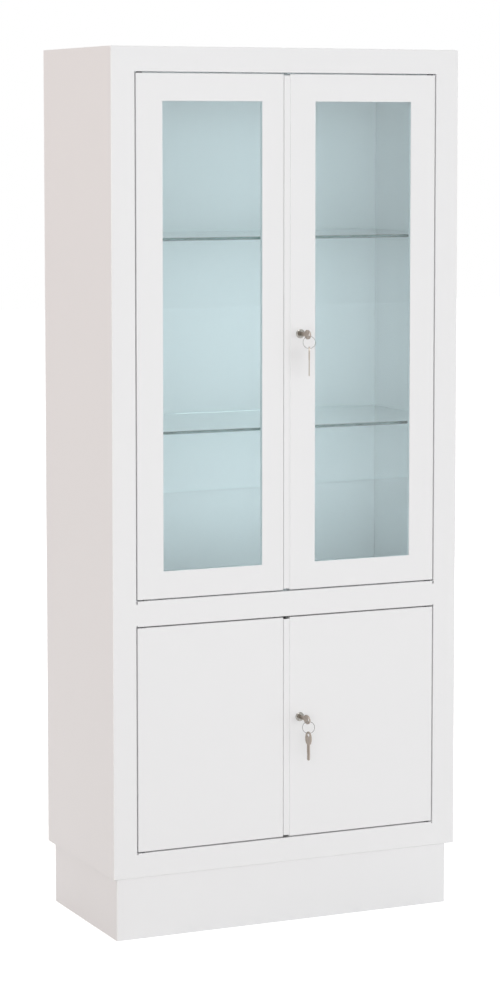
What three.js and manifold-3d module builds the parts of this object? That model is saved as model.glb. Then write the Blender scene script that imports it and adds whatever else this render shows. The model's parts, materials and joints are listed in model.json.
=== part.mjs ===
// Two-part steel cabinet for a clinic: glazed doors above, solid doors below, on a recessed plinth.
// Millimetres, X to the right, Y to the back, Z up. While it is built, Y is zero on the front face.
import * as THREE from 'three';
import { mergeVertices } from 'three/addons/utils/BufferGeometryUtils.js';
import Module from 'manifold-3d';

const wasm = await Module();
wasm.setup();

// Overall size
const WIDTH = 775;
const DEPTH = 375;
const HEIGHT = 1800;

// Sheet steel: thickness, inside radius of a fold and the clearance of a sheet laid inside another
const SHEET = 1;
const FOLD_RADIUS = 0.5;
const FOLD_STEPS = 3;
const SHEET_CLEARANCE = 0.75;
const EDGE_RADIUS = FOLD_RADIUS + SHEET;

// Plinth
const PLINTH_HEIGHT = 130;
const PLINTH_FRONT_INSET = 15;
const PLINTH_SIDE_INSET = 12;
const PLINTH_BACK_INSET = 8;
const PLINTH_SHEET = 1.5;
const PLINTH_FLANGE = 25;
const PLINTH_CORNER_RADIUS = 4;

// Face frame round the two door openings
const STILE_WIDTH = 51;
const TOP_RAIL = 50;
const MIDDLE_RAIL = 52;
const BOTTOM_RAIL = 50;
const LOWER_OPENING_HEIGHT = 462;
const FRAME_DEPTH = 20;
const LONG_RELIEF = 6;
const SHORT_RELIEF = 2.5;

// Folds of the carcass panels
const REAR_RETURN = 4;
const PANEL_FLANGE = 25;
const BOTTOM_LIP = 36;

// Door leaves: folded pans set flush in the openings
const DOOR_GAP = 2.5;
const DOOR_DEPTH = 20;
const DOOR_LIP = 10;
const MEETING_GAP = 0.8;
const STRIP_WIDTH = 13.5;
const STRIP_JOINT_X = 3;
const STRIP_END_GAP = 3;

// Windows of the upper leaves and their glazing
const WINDOW_MEETING_BORDER = 48.2;
const WINDOW_HINGE_BORDER = 56.5;
const WINDOW_END_BORDER = 55;
const GLASS_THICKNESS = 4;
const GLASS_OVERLAP = 8;
const GASKET_WALL = 0.8;
const GASKET_CLEARANCE = 0.2;
const GASKET_SETBACK = 2;
const BEAD_THICKNESS = 3;
const BEAD_WIDTH = 14;

// Hat-section stiffener of a lower leaf
const HAT_WIDTH = 60;
const HAT_HEIGHT = 14;
const HAT_FLANGE = 14;
const HAT_END_CLEARANCE = 30;

// Pivot pins at the top and bottom of each leaf
const PIVOT_INSET = 9;
const PIVOT_DEPTH = 6.5;
const PIN_RADIUS = 3;
const PIN_REACH = 12;
const PIN_CHAMFER = 0.8;
const PIN_FLANGE_RADIUS = 6;
const PIN_HEAD_RADIUS = 5;
const PIN_HEAD_HEIGHT = 3;
const PIN_CLEARANCE = 0.2;

// Slide bolt that holds a left leaf to the middle rail
const BOLT_RADIUS = 4;
const BOLT_LENGTH = 80;
const BOLT_INSET = 18;
const BOLT_DEPTH = 10;
const BOLT_CHAMFER = 1;
const BOLT_RECESS = 0.5;
const BOLT_CLEARANCE = 0.3;
const BOLT_KNOB_RADIUS = 3;
const BOLT_KNOB_LENGTH = 16;
const BOLT_KNOB_INSET = 10;
const GUIDE_WIDTH = 20;
const GUIDE_THICKNESS = 2;
const GUIDE_RIM = 4;
const GUIDE_SPACING = 45;

// Shelves, with heights above the floor of their compartment
const GLASS_SHELF_THICKNESS = 6;
const GLASS_SHELF_HEIGHTS = { lower: 337, upper: 726 };
const GLASS_SHELF_EDGE = 0.8;
const SHELF_SIDE_CLEARANCE = 2;
const SHELF_FRONT_CLEARANCE = 4;
const SHELF_BACK_CLEARANCE = 2;
const STUD_RADIUS = 3.5;
const STUD_LENGTH = 12;
const STUD_CHAMFER = 0.8;
const STUD_BASE_RADIUS = 6;
const STUD_BASE_THICKNESS = 1.5;
const STUD_EDGE_DISTANCE = 45;
const STUD_CLEARANCE = 0.1;
const STEEL_SHELF_HEIGHT = 230;
const STEEL_SHELF_FLANGE = 25;
const STEEL_SHELF_SETBACK = 25;
const RAIL_LEG = 15;
const RAIL_END_CLEARANCE = 12;

// Cam lock of a right leaf
const LOCK_INSET = 23;
const LOWER_LOCK_DROP = 211;
const BEZEL_RADIUS = 9.5;
const BEZEL_HEIGHT = 3;
const BEZEL_ROUND = 1.2;
const BARREL_RADIUS = 8;
const PLUG_RADIUS = 5.5;
const LOCK_CLEARANCE = 0.3;
const NUT_RADIUS = 12.5;
const NUT_THICKNESS = 5;
const CAM_LENGTH = 45;
const CAM_WIDTH = 14;
const CAM_THICKNESS = 2;
const CAM_CLEARANCE = 1.5;
const TAIL_WIDTH = 6;
const TAIL_END = 1;

// Flat keys and the ring that holds the spare
const KEY_LENGTH = 60;
const KEY_BOW_LENGTH = 29;
const KEY_BOW_WIDTH = 19;
const KEY_BLADE_WIDTH = 8;
const KEY_THICKNESS = 2.2;
const KEY_TIP = 3;
const KEY_CUTS = 4;
const KEY_CUT_PITCH = 3.2;
const KEY_CUT_DEPTH = 0.9;
const KEY_HOLE_RADIUS = 4;
const KEY_HOLE_INSET = 7;
const KEY_INSERTION = 14;
const KEYWAY_END = 2;
const RING_RADIUS = 12.5;
const RING_WIRE_RADIUS = 0.9;
const RING_CLEARANCE = 0.3;
const RING_TURN = THREE.MathUtils.degToRad(-25);
const SPARE_TURNS = { upper: 0, lower: THREE.MathUtils.degToRad(39) };

// Facets of the round pieces, and how far a cutting tool reaches past the face that it cuts
const PIN_SIDES = 12;
const LOCK_SIDES = 24;
const CURVE_STEPS = 16;
const WIRE_SIDES = 8;
const RING_STEPS = 28;
const OVERCUT = 1;

// Places that several pieces share
const sideX = WIDTH / 2;
const wallX = sideX - SHEET;
const openingX = sideX - STILE_WIDTH;
const leafX = openingX - DOOR_GAP;
const lowerOpening = { bottom: PLINTH_HEIGHT + BOTTOM_RAIL };
lowerOpening.top = lowerOpening.bottom + LOWER_OPENING_HEIGHT;
const upperOpening = { bottom: lowerOpening.top + MIDDLE_RAIL, top: HEIGHT - TOP_RAIL };
const rearReturnY = DEPTH - SHEET;
const backPanelY = rearReturnY - SHEET;
const stripLeftX = STRIP_JOINT_X - STRIP_WIDTH;
const leftLeafEnd = stripLeftX - MEETING_GAP;
const pivotX = leafX - PIVOT_INSET;
const lockX = STRIP_JOINT_X + LOCK_INSET;
const boltX = leftLeafEnd - BOLT_INSET;
const upperLeaf = { bottom: upperOpening.bottom + DOOR_GAP, top: upperOpening.top - DOOR_GAP };
const lowerLeaf = { bottom: lowerOpening.bottom + DOOR_GAP, top: lowerOpening.top - DOOR_GAP };
const windowZ = { bottom: upperLeaf.bottom + WINDOW_END_BORDER, top: upperLeaf.top - WINDOW_END_BORDER };
const lockHeights = {
  upper: (upperOpening.bottom + upperOpening.top) / 2,
  lower: lowerOpening.top - LOWER_LOCK_DROP,
};

// Finishes
const finish = (color, roughness, metalness, extra = {}) =>
  new THREE.MeshStandardMaterial({ color, roughness, metalness, ...extra });
const POWDER_COAT = finish(0xececee, 0.45, 0);
const CLEAR_GLASS = finish(0xcfe6e4, 0.05, 0, { transparent: true, opacity: 0.3 });
const PALE_GASKET = finish(0xd9dcdc, 0.7, 0);
const ZINC_STEEL = finish(0xb9bcc0, 0.35, 0.9);
const NICKEL = finish(0xc9c6c0, 0.25, 1);
const KEY_METAL = finish(0xb8ac9c, 0.3, 1);

const cabinet = new THREE.Group();

// Adds a named piece to the cabinet.
function piece(name, geometry, material) {
  const mesh = new THREE.Mesh(geometry, material);
  mesh.name = name;
  cabinet.add(mesh);
}

// Booleans: a closed geometry becomes a solid and comes back as a geometry.
function toSolid(geometry) {
  const plain = geometry.clone();
  plain.deleteAttribute('normal');
  plain.deleteAttribute('uv');
  const merged = mergeVertices(plain, 1e-4);
  const vertProperties = merged.attributes.position.array;
  const triVerts = new Uint32Array(merged.index.array);
  return new wasm.Manifold(new wasm.Mesh({ numProp: 3, vertProperties, triVerts }));
}

function toGeometry(solid) {
  const { vertProperties, triVerts } = solid.getMesh();
  const geometry = new THREE.BufferGeometry();
  geometry.setAttribute('position', new THREE.BufferAttribute(vertProperties, 3));
  geometry.setIndex(new THREE.BufferAttribute(triVerts, 1));
  return geometry;
}

function cut(base, tools) {
  const solid = tools.reduce((left, tool) => left.subtract(toSolid(tool)), toSolid(base));
  return toGeometry(solid);
}

function join(parts) {
  const [first, ...rest] = parts.map(toSolid);
  return toGeometry(rest.reduce((whole, part) => whole.add(part), first));
}

// Plain forms, placed by their limits
function box([x0, x1], [y0, y1], [z0, z1]) {
  const geometry = new THREE.BoxGeometry(x1 - x0, y1 - y0, z1 - z0);
  return geometry.translate((x0 + x1) / 2, (y0 + y1) / 2, (z0 + z1) / 2);
}

function rectangle([x0, x1], [y0, y1]) {
  const corners = [[x0, y0], [x1, y0], [x1, y1], [x0, y1]];
  return new THREE.Shape(corners.map(([x, y]) => new THREE.Vector2(x, y)));
}

function grow([low, high], amount) {
  return [low - amount, high + amount];
}

function roundedRectangle([x0, x1], [y0, y1], radius) {
  const shape = new THREE.Shape();
  shape.absarc(x1 - radius, y0 + radius, radius, -Math.PI / 2, 0);
  shape.absarc(x1 - radius, y1 - radius, radius, 0, Math.PI / 2);
  shape.absarc(x0 + radius, y1 - radius, radius, Math.PI / 2, Math.PI);
  shape.absarc(x0 + radius, y0 + radius, radius, Math.PI, Math.PI * 1.5);
  return shape;
}

// A drawn outline lies in the X-Z plane after this turn, and its extrusion runs from back to front.
const STAND_UP = new THREE.Matrix4().makeBasis(
  new THREE.Vector3(1, 0, 0),
  new THREE.Vector3(0, 0, 1),
  new THREE.Vector3(0, -1, 0),
);

function alongZ(shape, [z0, z1], curveSegments = FOLD_STEPS) {
  const options = { depth: z1 - z0, bevelEnabled: false, curveSegments };
  return new THREE.ExtrudeGeometry(shape, options).translate(0, 0, z0);
}

function alongY(shape, [y0, y1], curveSegments = FOLD_STEPS) {
  const options = { depth: y1 - y0, bevelEnabled: false, curveSegments };
  return new THREE.ExtrudeGeometry(shape, options).applyMatrix4(STAND_UP).translate(0, y1, 0);
}

// An extrusion with both ends rounded over, as a folded or polished edge is.
function roundedExtrusion(shape, depth, radius) {
  return new THREE.ExtrudeGeometry(shape, {
    depth: depth - 2 * radius,
    bevelThickness: radius,
    bevelSize: radius,
    bevelOffset: -radius,
    bevelSegments: FOLD_STEPS,
  });
}

function roundedAlongY(shape, [y0, y1], radius) {
  return roundedExtrusion(shape, y1 - y0, radius).applyMatrix4(STAND_UP).translate(0, y1 - radius, 0);
}

function cylinderZ([x, y], radius, [z0, z1], sides = PIN_SIDES) {
  const geometry = new THREE.CylinderGeometry(radius, radius, z1 - z0, sides);
  return geometry.rotateX(Math.PI / 2).translate(x, y, (z0 + z1) / 2);
}

function cylinderY([x, z], radius, [y0, y1], sides = LOCK_SIDES) {
  const geometry = new THREE.CylinderGeometry(radius, radius, y1 - y0, sides);
  return geometry.translate(x, (y0 + y1) / 2, z);
}

function revolve(profile, sides) {
  const points = profile.map(([radius, height]) => new THREE.Vector2(radius, height));
  return new THREE.LatheGeometry(points, sides);
}

// Section of a folded sheet. The corners lie on one face, and the sheet is on the right of that path.
function foldedSheet(corners, thickness = SHEET) {
  const points = corners.map(([x, y]) => new THREE.Vector2(x, y));
  const last = points.length - 1;
  const heading = (from, to) => points[to].clone().sub(points[from]).normalize();
  const near = [];
  const far = [];
  points.forEach((point, i) => {
    const into = heading(Math.max(i, 1) - 1, Math.max(i, 1));
    const out = heading(Math.min(i, last - 1), Math.min(i, last - 1) + 1);
    const turn = Math.atan2(into.cross(out), into.dot(out));
    const right = new THREE.Vector2(into.y, -into.x);
    if (i === 0 || i === last) {
      near.push(point);
      far.push(point.clone().addScaledVector(right, thickness));
      return;
    }
    const side = Math.sign(turn);
    const nearRadius = side > 0 ? FOLD_RADIUS : FOLD_RADIUS + thickness;
    const farRadius = side > 0 ? FOLD_RADIUS + thickness : FOLD_RADIUS;
    const start = point.clone().addScaledVector(into, -nearRadius * Math.tan(Math.abs(turn) / 2));
    const centre = start.clone().addScaledVector(right, -side * nearRadius);
    for (let step = 0; step <= FOLD_STEPS; step += 1) {
      const spoke = right.clone().multiplyScalar(side);
      spoke.rotateAround(new THREE.Vector2(), (turn * step) / FOLD_STEPS);
      near.push(centre.clone().addScaledVector(spoke, nearRadius));
      far.push(centre.clone().addScaledVector(spoke, farRadius));
    }
  });
  return new THREE.Shape([...near, ...far.reverse()]);
}

// Face frame: one welded shell with a rounded face, outer flanges and jambs round both openings.
function frontFrame() {
  const bodyZ = [PLINTH_HEIGHT, HEIGHT];
  const openings = [lowerOpening, upperOpening];
  const outline = (inset) => {
    const shape = rectangle(grow([-sideX, sideX], -inset), grow(bodyZ, -inset));
    const holes = openings.map(({ bottom, top }) =>
      rectangle(grow([-openingX, openingX], inset), grow([bottom, top], inset)));
    shape.holes.push(...holes);
    return shape;
  };
  const tools = [
    box(grow([-sideX, sideX], OVERCUT), [FRAME_DEPTH, FRAME_DEPTH + 2 * EDGE_RADIUS], grow(bodyZ, OVERCUT)),
    alongY(outline(SHEET), [SHEET, FRAME_DEPTH + OVERCUT]),
  ];
  for (const x of [-pivotX, pivotX]) {
    for (const { bottom, top } of openings) {
      for (const z of [bottom - SHEET, top]) {
        const hole = [z - OVERCUT, z + SHEET + OVERCUT];
        tools.push(cylinderZ([x, PIVOT_DEPTH], PIN_RADIUS + PIN_CLEARANCE, hole));
      }
    }
  }
  for (const z of [lowerOpening.top, upperOpening.bottom - SHEET]) {
    const hole = [z - OVERCUT, z + SHEET + OVERCUT];
    tools.push(cylinderZ([boltX, BOLT_DEPTH], BOLT_RADIUS + BOLT_CLEARANCE, hole));
  }
  // Slits where the jambs were folded: long ones under the upper leaves, short ones round the lower leaves.
  const reliefs = [
    [upperOpening.bottom - LONG_RELIEF, upperOpening.bottom],
    [lowerOpening.top, lowerOpening.top + SHORT_RELIEF],
    [lowerOpening.bottom - SHORT_RELIEF, lowerOpening.bottom],
  ];
  for (const slit of reliefs) {
    for (const x of [[-openingX, -leafX], [leafX, openingX]]) {
      tools.push(box(x, [-OVERCUT, SHEET + OVERCUT], slit));
    }
  }
  const shell = roundedAlongY(outline(0), [0, FRAME_DEPTH + EDGE_RADIUS], EDGE_RADIUS);
  piece('front_frame', cut(shell, tools), POWDER_COAT);
}

// Carcass: side panels with rear returns, flanged top, divider and floor, and a flat back.
function carcass() {
  const bodyZ = [PLINTH_HEIGHT, HEIGHT];
  const sideLeft = [[-sideX, FRAME_DEPTH], [-sideX, DEPTH], [-sideX + REAR_RETURN, DEPTH]];
  const sideRight = [[sideX - REAR_RETURN, DEPTH], [sideX, DEPTH], [sideX, FRAME_DEPTH]];
  piece('left_side_panel', alongZ(foldedSheet(sideLeft), bodyZ), POWDER_COAT);
  piece('right_side_panel', alongZ(foldedSheet(sideRight), bodyZ), POWDER_COAT);

  const panelY = [FRAME_DEPTH, backPanelY];
  const flanged = (z) => {
    const edge = z - PANEL_FLANGE;
    return foldedSheet([[-wallX, edge], [-wallX, z], [wallX, z], [wallX, edge]]);
  };
  piece('top_panel', alongY(flanged(HEIGHT), panelY), POWDER_COAT);
  piece('divider_panel', alongY(flanged(upperOpening.bottom), panelY), POWDER_COAT);

  const lipX = wallX - BOTTOM_LIP;
  const floorSection = foldedSheet([
    [-lipX, PLINTH_HEIGHT],
    [-wallX, PLINTH_HEIGHT],
    [-wallX, lowerOpening.bottom],
    [wallX, lowerOpening.bottom],
    [wallX, PLINTH_HEIGHT],
    [lipX, PLINTH_HEIGHT],
  ]);
  piece('bottom_panel', alongY(floorSection, panelY), POWDER_COAT);
  const backX = grow([-wallX, wallX], -SHEET_CLEARANCE);
  piece('back_panel', box(backX, [backPanelY, rearReturnY], bodyZ), POWDER_COAT);
}

// Plinth: a folded ring with a flange turned in at the top and at the floor.
function plinth() {
  const x = grow([-sideX, sideX], -PLINTH_SIDE_INSET);
  const y = [PLINTH_FRONT_INSET, DEPTH - PLINTH_BACK_INSET];
  const ring = (inset, z) => {
    const shape = roundedRectangle(x, y, PLINTH_CORNER_RADIUS);
    shape.holes.push(rectangle(grow(x, -inset), grow(y, -inset)));
    return alongZ(shape, z);
  };
  const wall = ring(PLINTH_SHEET, [0, PLINTH_HEIGHT]);
  const foot = ring(PLINTH_FLANGE, [0, PLINTH_SHEET]);
  const head = ring(PLINTH_FLANGE, [PLINTH_HEIGHT - PLINTH_SHEET, PLINTH_HEIGHT]);
  piece('plinth', join([wall, foot, head]), POWDER_COAT);
}

// Door pan: a skin with returns and lips folded behind it, cut by the given tools.
function doorPan(name, x, { bottom, top }, tools, added = []) {
  const z = [bottom, top];
  const blank = roundedAlongY(rectangle(x, z), [0, DOOR_DEPTH + EDGE_RADIUS], EDGE_RADIUS);
  const shell = cut(blank, [
    box(grow(x, OVERCUT), [DOOR_DEPTH, DOOR_DEPTH + 2 * EDGE_RADIUS], grow(z, OVERCUT)),
    box(grow(x, -SHEET), [SHEET, DOOR_DEPTH - SHEET], grow(z, -SHEET)),
    box(grow(x, -DOOR_LIP), [SHEET, DOOR_DEPTH + OVERCUT], grow(z, -DOOR_LIP)),
  ]);
  const hinge = Math.abs(x[0]) > Math.abs(x[1]) ? -pivotX : pivotX;
  const pinHoles = [bottom, top - SHEET].map((edge) =>
    cylinderZ([hinge, PIVOT_DEPTH], PIN_RADIUS + PIN_CLEARANCE, [edge - OVERCUT, edge + SHEET + OVERCUT]));
  piece(name, cut(join([shell, ...added]), [...pinHoles, ...tools]), POWDER_COAT);
}

// Glazing of an upper leaf: pane, channel gasket and the bead that holds them against the skin.
function glazing(side, x) {
  const z = [windowZ.bottom, windowZ.top];
  const slotY = [SHEET + GASKET_WALL, SHEET + GASKET_WALL + GLASS_THICKNESS + 2 * GASKET_CLEARANCE];
  const gasketY = [SHEET, slotY[1] + GASKET_WALL];
  const around = (margin, y) => box(grow(x, margin), y, grow(z, margin));
  const paneY = grow(slotY, -GASKET_CLEARANCE);
  piece(`${side}_glass`, around(GLASS_OVERLAP, paneY), CLEAR_GLASS);

  const slotMargin = GLASS_OVERLAP + GASKET_CLEARANCE;
  const gasket = cut(around(slotMargin + GASKET_WALL, gasketY), [
    around(GASKET_SETBACK, grow(gasketY, OVERCUT)),
    around(slotMargin, slotY),
  ]);
  piece(`${side}_glazing_gasket`, gasket, PALE_GASKET);

  const beadY = [gasketY[1], gasketY[1] + BEAD_THICKNESS];
  const bead = cut(around(BEAD_WIDTH, beadY), [around(0, grow(beadY, OVERCUT))]);
  piece(`${side}_glazing_bead`, bead, POWDER_COAT);
}

// Lug inside a left leaf that guides its bolt, and the holes that the bolt runs through.
function boltGuide(edge, inward) {
  const near = edge + inward * GUIDE_SPACING;
  const far = near + inward * GUIDE_THICKNESS;
  const z = [Math.min(near, far), Math.max(near, far)];
  const y = [SHEET / 2, BOLT_DEPTH + BOLT_RADIUS + GUIDE_RIM];
  const bore = [Math.min(edge, far) - OVERCUT, Math.max(edge, far) + OVERCUT];
  return {
    lug: box(grow([boltX, boltX], GUIDE_WIDTH / 2), y, z),
    bore: cylinderZ([boltX, BOLT_DEPTH], BOLT_RADIUS + BOLT_CLEARANCE, bore),
  };
}

// Slide bolt: a chamfered rod with a finger knob, its nose just inside the leaf's edge.
function slideBolt(name, edge, inward) {
  const rod = revolve([
    [0, 0],
    [BOLT_RADIUS - BOLT_CHAMFER, 0],
    [BOLT_RADIUS, BOLT_CHAMFER],
    [BOLT_RADIUS, BOLT_LENGTH - BOLT_CHAMFER],
    [BOLT_RADIUS - BOLT_CHAMFER, BOLT_LENGTH],
    [0, BOLT_LENGTH],
  ], PIN_SIDES);
  rod.rotateX((inward * Math.PI) / 2).translate(boltX, BOLT_DEPTH, edge + inward * BOLT_RECESS);
  const knobZ = edge + inward * (BOLT_RECESS + BOLT_LENGTH - BOLT_KNOB_INSET);
  const knobY = [BOLT_DEPTH, BOLT_DEPTH + BOLT_KNOB_LENGTH];
  const knob = cylinderY([boltX, knobZ], BOLT_KNOB_RADIUS, knobY, PIN_SIDES);
  piece(name, join([rod, knob]), ZINC_STEEL);
}

// Meeting strip: a channel on the edge of the right leaf that closes the joint between the leaves.
function meetingStrip(name, { bottom, top }) {
  const section = foldedSheet([
    [STRIP_JOINT_X, DOOR_DEPTH],
    [STRIP_JOINT_X, 0],
    [stripLeftX, 0],
    [stripLeftX, DOOR_DEPTH],
  ]);
  piece(name, alongZ(section, grow([bottom, top], -STRIP_END_GAP)), POWDER_COAT);
}

// Stiffener: a hat section welded behind the skin of a lower leaf.
function stiffener(name, x, { bottom, top }) {
  const middle = (x[0] + x[1]) / 2;
  const crown = HAT_WIDTH / 2 - HAT_FLANGE;
  const crest = SHEET + HAT_HEIGHT;
  const section = foldedSheet([
    [middle + HAT_WIDTH / 2, SHEET],
    [middle + crown, SHEET],
    [middle + crown, crest],
    [middle - crown, crest],
    [middle - crown, SHEET],
    [middle - HAT_WIDTH / 2, SHEET],
  ]);
  piece(name, alongZ(section, grow([bottom, top], -HAT_END_CLEARANCE)), POWDER_COAT);
}

// The four leaves. Left leaves have a bolt, right leaves the meeting strip and the lock.
function doors() {
  const leftX = [-leafX, leftLeafEnd];
  const rightX = [STRIP_JOINT_X, leafX];
  const windowLeft = [-leafX + WINDOW_HINGE_BORDER, leftLeafEnd - WINDOW_MEETING_BORDER];
  const windowRight = [-windowLeft[1], -windowLeft[0]];
  const skinY = [-OVERCUT, SHEET + OVERCUT];
  const windowTool = (x) => box(x, skinY, [windowZ.bottom, windowZ.top]);
  const lockTool = (z) => cylinderY([lockX, z], BARREL_RADIUS + LOCK_CLEARANCE, skinY);

  const upperGuide = boltGuide(upperLeaf.bottom, 1);
  const lowerGuide = boltGuide(lowerLeaf.top, -1);
  const upperLeftTools = [windowTool(windowLeft), upperGuide.bore];
  doorPan('upper_left_door_pan', leftX, upperLeaf, upperLeftTools, [upperGuide.lug]);
  doorPan('upper_right_door_pan', rightX, upperLeaf, [windowTool(windowRight), lockTool(lockHeights.upper)]);
  doorPan('lower_left_door_pan', leftX, lowerLeaf, [lowerGuide.bore], [lowerGuide.lug]);
  doorPan('lower_right_door_pan', rightX, lowerLeaf, [lockTool(lockHeights.lower)]);

  glazing('upper_left', windowLeft);
  glazing('upper_right', windowRight);
  stiffener('lower_left_stiffener', leftX, lowerLeaf);
  stiffener('lower_right_stiffener', rightX, lowerLeaf);
  meetingStrip('upper_meeting_strip', upperLeaf);
  meetingStrip('lower_meeting_strip', lowerLeaf);
  slideBolt('upper_left_bolt', upperLeaf.bottom, 1);
  slideBolt('lower_left_bolt', lowerLeaf.top, -1);
}

// Pivot pin, riveted in the jamb: its flange fills the gap and its shank turns in the leaf's edge.
function pivotPins() {
  const jamb = DOOR_GAP + SHEET + PIN_CLEARANCE;
  const profile = [
    [0, -PIN_REACH],
    [PIN_RADIUS - PIN_CHAMFER, -PIN_REACH],
    [PIN_RADIUS, -PIN_REACH + PIN_CHAMFER],
    [PIN_RADIUS, PIN_CLEARANCE],
    [PIN_FLANGE_RADIUS, PIN_CLEARANCE],
    [PIN_FLANGE_RADIUS, DOOR_GAP - PIN_CLEARANCE],
    [PIN_RADIUS, DOOR_GAP - PIN_CLEARANCE],
    [PIN_RADIUS, jamb],
    [PIN_HEAD_RADIUS, jamb],
    [PIN_HEAD_RADIUS, jamb + PIN_HEAD_HEIGHT],
    [0, jamb + PIN_HEAD_HEIGHT],
  ];
  for (const [level, leaf] of [['upper', upperLeaf], ['lower', lowerLeaf]]) {
    for (const [side, x] of [['left', -pivotX], ['right', pivotX]]) {
      for (const [end, z, up] of [['top', leaf.top, 1], ['bottom', leaf.bottom, -1]]) {
        const pin = revolve(profile, PIN_SIDES).rotateX((up * Math.PI) / 2).translate(x, PIVOT_DEPTH, z);
        piece(`${level}_${side}_${end}_pivot`, pin, ZINC_STEEL);
      }
    }
  }
}

// Glass shelves on welded studs, and a folded steel shelf on two rails.
function shelves() {
  const shelfX = grow([-wallX, wallX], -SHELF_SIDE_CLEARANCE);
  const glassY = [DOOR_DEPTH + SHELF_FRONT_CLEARANCE, backPanelY - SHELF_BACK_CLEARANCE];
  const studY = { front: glassY[0] + STUD_EDGE_DISTANCE, rear: glassY[1] - STUD_EDGE_DISTANCE };
  const studProfile = [
    [0, 0],
    [STUD_BASE_RADIUS, 0],
    [STUD_BASE_RADIUS, STUD_BASE_THICKNESS],
    [STUD_RADIUS, STUD_BASE_THICKNESS],
    [STUD_RADIUS, STUD_LENGTH - STUD_CHAMFER],
    [STUD_RADIUS - STUD_CHAMFER, STUD_LENGTH],
    [0, STUD_LENGTH],
  ];
  for (const [level, height] of Object.entries(GLASS_SHELF_HEIGHTS)) {
    const under = upperOpening.bottom + height - GLASS_SHELF_THICKNESS;
    const pane = roundedExtrusion(rectangle(shelfX, glassY), GLASS_SHELF_THICKNESS, GLASS_SHELF_EDGE);
    piece(`${level}_glass_shelf`, pane.translate(0, 0, under + GLASS_SHELF_EDGE), CLEAR_GLASS);
    for (const [side, sign] of [['left', -1], ['right', 1]]) {
      for (const [end, y] of Object.entries(studY)) {
        const stud = revolve(studProfile, PIN_SIDES).rotateZ((sign * Math.PI) / 2);
        stud.translate(sign * wallX, y, under - STUD_RADIUS - STUD_CLEARANCE);
        piece(`${level}_${side}_${end}_shelf_stud`, stud, ZINC_STEEL);
      }
    }
  }

  const top = lowerOpening.bottom + STEEL_SHELF_HEIGHT;
  const y = [DOOR_DEPTH + STEEL_SHELF_SETBACK, glassY[1]];
  const hem = top - STEEL_SHELF_FLANGE;
  const tray = foldedSheet([[y[0], hem], [y[0], top], [y[1], top], [y[1], hem]]);
  // The tray's section is drawn with Y to the right, so it is turned to run from side to side.
  const toX = new THREE.Matrix4().makeBasis(
    new THREE.Vector3(0, 1, 0),
    new THREE.Vector3(0, 0, 1),
    new THREE.Vector3(1, 0, 0),
  );
  piece('steel_shelf', alongZ(tray, shelfX).applyMatrix4(toX), POWDER_COAT);

  const seat = top - SHEET;
  const railY = grow(y, -RAIL_END_CLEARANCE);
  for (const [side, sign] of [['left', -1], ['right', 1]]) {
    const wall = sign * wallX;
    const corners = [[wall, seat - RAIL_LEG], [wall, seat], [wall - sign * RAIL_LEG, seat]];
    const section = foldedSheet(sign < 0 ? corners : corners.reverse());
    piece(`steel_shelf_${side}_rail`, alongY(section, railY), POWDER_COAT);
  }
}

// Outline of a flat key, from its tip at zero to the end of its bow.
function keyOutline() {
  const half = KEY_BLADE_WIDTH / 2;
  const bowX = KEY_LENGTH - KEY_BOW_LENGTH / 2;
  const meet = Math.asin(KEY_BLADE_WIDTH / KEY_BOW_WIDTH);
  const shape = new THREE.Shape();
  shape.moveTo(0, -half / 2);
  shape.lineTo(KEY_TIP, -half);
  shape.absellipse(bowX, 0, KEY_BOW_LENGTH / 2, KEY_BOW_WIDTH / 2, Math.PI + meet, 3 * Math.PI - meet);
  for (let i = KEY_CUTS; i > 0; i -= 1) {
    const middle = KEY_TIP + (i - 0.5) * KEY_CUT_PITCH;
    shape.lineTo(middle + KEY_CUT_PITCH / 2, half);
    shape.lineTo(middle, half - KEY_CUT_DEPTH * (1 + (i % 2)));
  }
  shape.lineTo(KEY_TIP, half);
  shape.lineTo(0, half / 2);
  const hole = new THREE.Path();
  hole.absarc(KEY_LENGTH - KEY_HOLE_INSET, 0, KEY_HOLE_RADIUS, 0, 2 * Math.PI);
  shape.holes.push(hole);
  return shape;
}

// A key laid along one direction, with its width along another and its tip at the given point.
function keyAt(tip, along, across) {
  const geometry = alongZ(keyOutline(), [-KEY_THICKNESS / 2, KEY_THICKNESS / 2], CURVE_STEPS);
  const through = along.clone().cross(across);
  geometry.applyMatrix4(new THREE.Matrix4().makeBasis(along, across, through));
  return geometry.translate(tip.x, tip.y, tip.z);
}

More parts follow.
